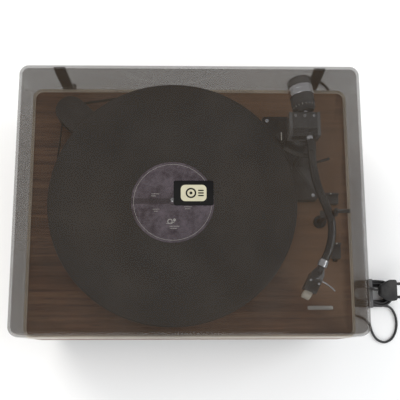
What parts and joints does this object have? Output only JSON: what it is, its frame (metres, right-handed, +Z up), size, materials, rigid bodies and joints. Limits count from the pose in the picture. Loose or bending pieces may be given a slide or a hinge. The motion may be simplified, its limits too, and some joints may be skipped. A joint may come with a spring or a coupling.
{
  "type": "turntable record player",
  "caption": "Belt-driven record player with a wood plinth, an S-shaped tone arm, a record on the platter and a hinged smoked cover.",
  "frame": {"origin": "on the floor, in the middle of the player's outline without its mains lead", "axes": "+X to the tone arm's side, +Y to the hinges at the back, +Z up"},
  "size_m": [0.4963, 0.3831, 0.1462],
  "materials": {
    "walnut": "satin veneer, grain along X",
    "black_plastic": "fine satin",
    "black_gloss": "semi-gloss black",
    "rubber": "matt",
    "chrome": "polished",
    "cast_metal": "turned and cast",
    "vinyl": "grooved gloss",
    "label_paper": "printed paper",
    "cream_plastic": "satin",
    "circuit_board": "lacquered",
    "badge": "printed film",
    "smoked_clear": "polished smoked acrylic",
    "cord": "satin flexible jacket"
  },
  "bodies": {
    "root": {"wood_plinth": "walnut", "base_tray": "black_plastic", "foot_front_left": "rubber", "foot_front_right": "rubber", "foot_rear_left": "rubber", "foot_rear_right": "rubber", "rear_panel": "black_plastic", "rca_socket_left": "chrome", "rca_socket_right": "chrome", "cord_gland": "rubber", "bearing_housing": "cast_metal", "motor": "cast_metal", "drive_belt": "rubber", "pulley_cover": "black_plastic", "control_board": "circuit_board", "transformer": "cast_metal", "arm_base": "black_plastic", "arm_pedestal": "black_plastic", "arm_rest": "black_plastic", "deck_badge": "chrome", "hinge_base_left": "black_plastic", "hinge_base_right": "black_plastic", "mains_cord": "cord", "cord_hank": "cord", "cord_tie": "black_plastic", "cord_tail": "cord", "plug_body": "rubber", "plug_pin_front": "chrome", "plug_pin_rear": "chrome"},
    "turning_platter": {"spindle": "chrome", "platter": "cast_metal", "slip_mat": "rubber", "vinyl_record": "vinyl", "record_label": "label_paper"},
    "pulley": {"motor_pulley": "cream_plastic"},
    "cover": {"dust_cover": "smoked_clear", "cover_badge": "badge", "hinge_arm_left": "black_plastic", "hinge_arm_right": "black_plastic"},
    "yoke": {"arm_yoke": "black_plastic"},
    "tone_arm": {"pivot_block": "black_plastic", "arm_tube": "black_gloss", "weight_shaft": "chrome", "headshell": "black_gloss", "finger_lift": "chrome", "cartridge": "black_plastic", "stylus": "cream_plastic"},
    "weight": {"counterweight": "black_gloss", "counterweight_band": "chrome"},
    "dial": {"force_dial": "black_gloss"},
    "collar": {"headshell_collar": "chrome"},
    "cue": {"cue_lever": "black_plastic"},
    "lift": {"lift_platform": "rubber"},
    "clip": {"arm_clip": "black_plastic"},
    "antiskate": {"antiskate_knob": "black_plastic"},
    "speed": {"speed_selector": "black_plastic"},
    "start": {"start_lever": "black_plastic"},
    "mains_switch": {"power_switch": "black_plastic"},
    "ground": {"ground_screw": "chrome"}
  },
  "joints": [
    {"name": "platter_spin", "type": "hinge", "parent": "root", "child": "turning_platter", "pos_m": [-0.021, -0.0025, 0.09], "axis": [0, 0, 1], "continuous": true},
    {"name": "motor_spin", "type": "hinge", "parent": "root", "child": "pulley", "pos_m": [-0.149, 0.1175, 0.09], "axis": [0, 0, 1], "continuous": true},
    {"name": "cover_open", "type": "hinge", "parent": "root", "child": "cover", "pos_m": [0, 0.1605, 0.0722], "axis": [-1, 0, 0], "range_deg": [0, 72]},
    {"name": "arm_swing", "type": "hinge", "parent": "root", "child": "yoke", "pos_m": [0.139, 0.0905, 0.1252], "axis": [0, 0, -1], "range_deg": [0, 43]},
    {"name": "arm_raise", "type": "hinge", "parent": "yoke", "child": "tone_arm", "pos_m": [0.139, 0.0905, 0.1252], "axis": [-1, 0, 0], "range_deg": [0, 3]},
    {"name": "weight_turn", "type": "hinge", "parent": "tone_arm", "child": "weight", "pos_m": [0.139, 0.0905, 0.1252], "axis": [-0.1495, 0.9888, 0], "continuous": true},
    {"name": "dial_turn", "type": "hinge", "parent": "tone_arm", "child": "dial", "pos_m": [0.139, 0.0905, 0.1252], "axis": [-0.1495, 0.9888, 0], "continuous": true},
    {"name": "collar_turn", "type": "hinge", "parent": "tone_arm", "child": "collar", "pos_m": [0.15432, -0.0777, 0.1252], "axis": [0.4445, 0.8958, 0], "range_deg": [0, 45]},
    {"name": "cue_lever_turn", "type": "hinge", "parent": "root", "child": "cue", "pos_m": [0.151, 0.0505, 0.0962], "axis": [0, -1, 0], "range_deg": [0, 50]},
    {"name": "lift_rise", "type": "slide", "parent": "root", "child": "lift", "axis": [0, 0, 1], "range_m": [0, 0.0023]},
    {"name": "clip_turn", "type": "hinge", "parent": "root", "child": "clip", "pos_m": [0.16934, -0.02129, 0.132], "axis": [0, 0, 1], "range_deg": [0, 180]},
    {"name": "antiskate_turn", "type": "hinge", "parent": "root", "child": "antiskate", "pos_m": [0.113, 0.0825, 0.0953], "axis": [0, 0, 1], "range_deg": [0, 270]},
    {"name": "speed_slide", "type": "slide", "parent": "root", "child": "speed", "axis": [0, -1, 0], "range_m": [0, 0.008]},
    {"name": "start_slide", "type": "slide", "parent": "root", "child": "start", "axis": [0, -1, 0], "range_m": [0, 0.01]},
    {"name": "switch_rock", "type": "hinge", "parent": "root", "child": "mains_switch", "pos_m": [0.113, 0.1456, 0.0281], "axis": [0, 0, -1], "range_deg": [0, 12]},
    {"name": "ground_turn", "type": "hinge", "parent": "root", "child": "ground", "pos_m": [0.082, 0.1466, 0.0281], "axis": [0, 1, 0], "continuous": true}
  ],
  "couplings": [
    {"joint": "motor_spin", "follows": "platter_spin", "ratio": 15.278},
    {"joint": "cue_lever_turn", "follows": "arm_raise", "ratio": 16.667},
    {"joint": "lift_rise", "follows": "arm_raise", "m_per_rad": 0.043927}
  ]
}
